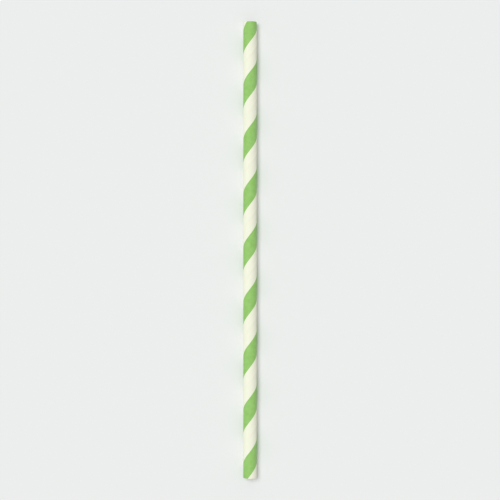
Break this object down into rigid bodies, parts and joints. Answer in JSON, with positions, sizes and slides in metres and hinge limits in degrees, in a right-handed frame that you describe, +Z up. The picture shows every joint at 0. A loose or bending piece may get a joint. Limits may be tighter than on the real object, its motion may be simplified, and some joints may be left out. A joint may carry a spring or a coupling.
{
  "type": "drinking straw",
  "caption": "Straight paper drinking straw: a thin tube wound from strips of paper in a right-hand helix, with green and white stripes that follow the winding.",
  "frame": {"origin": "on the surface the straw lies on, under the middle of its length", "axes": "+Y along the straw's axis towards the end that is uppermost in the picture, +Z up from the surface, and +X to the right when seen from above with +Y away"},
  "size_m": [0.006, 0.2, 0.006],
  "materials": {
    "printed_paper": "matt uncoated paper, off-white with a light green stripe"
  },
  "bodies": {
    "root": {"straw_tube": "printed_paper"}
  },
  "joints": []
}
